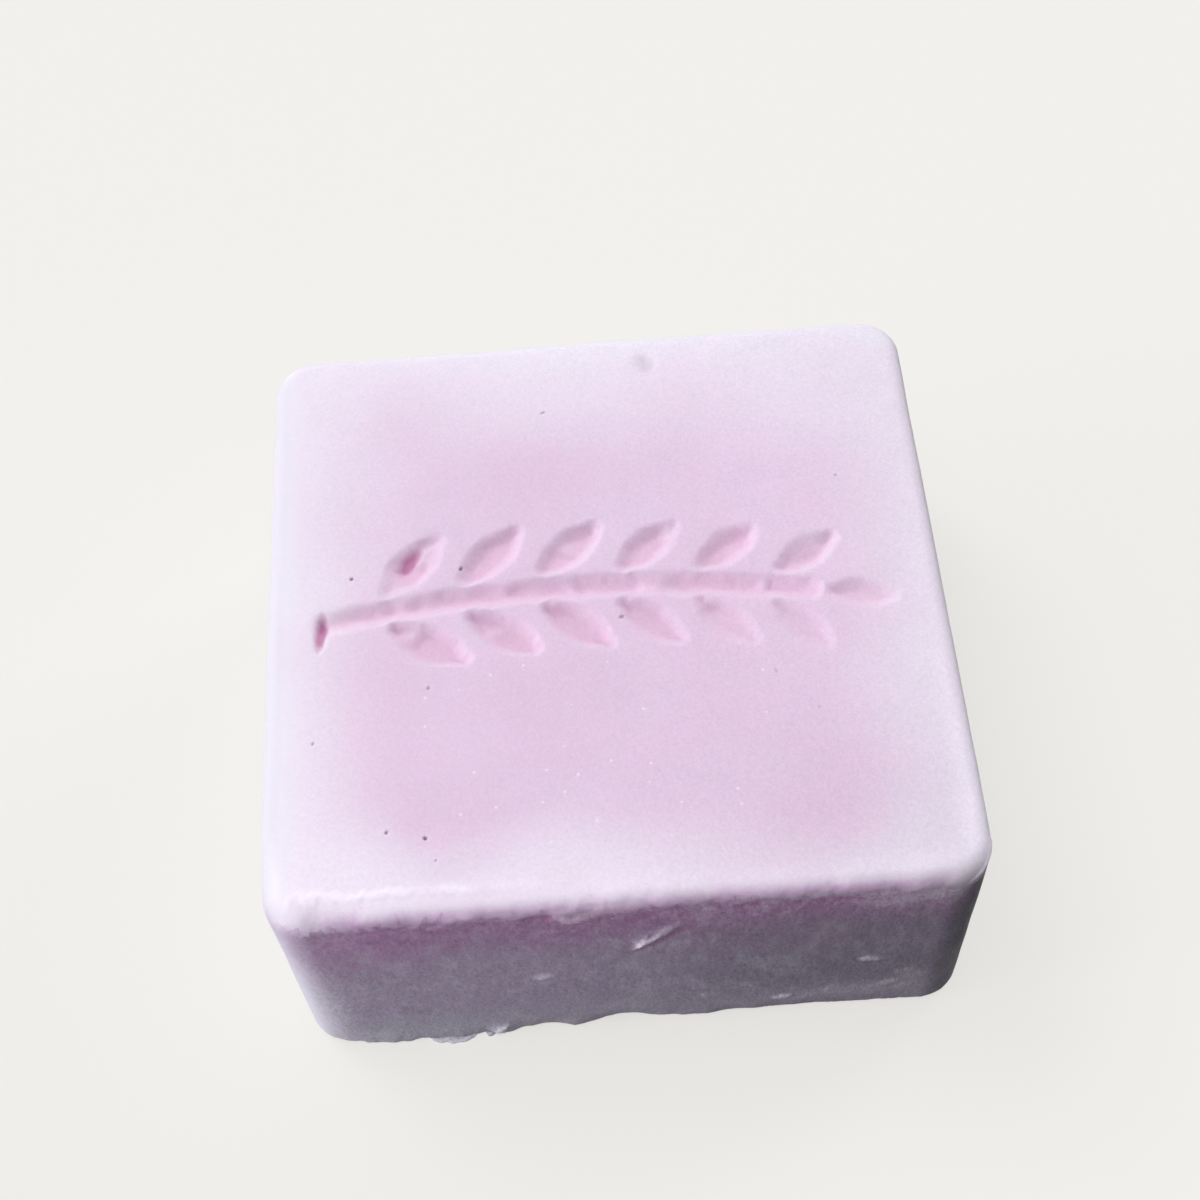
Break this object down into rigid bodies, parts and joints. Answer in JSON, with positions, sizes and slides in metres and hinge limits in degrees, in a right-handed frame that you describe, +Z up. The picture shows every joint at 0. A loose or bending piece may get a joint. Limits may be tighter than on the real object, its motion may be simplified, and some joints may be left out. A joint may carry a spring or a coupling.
{
  "type": "conditioner bar",
  "caption": "Square pastel conditioner bar cast in one piece, with rounded edges, a flat underside and a leaf sprig sunk into the upper face.",
  "frame": {"origin": "middle of the underside, on the surface that the bar rests on", "axes": "+Z up out of the face with the leaf sprig, +X to the right along the sprig towards its tip, +Y to the back"},
  "size_m": [0.062, 0.062, 0.027],
  "materials": {
    "bar": "waxy, pale pink-lilac, slightly translucent, with whitish edges"
  },
  "bodies": {
    "root": {"bar": "bar"}
  },
  "joints": []
}
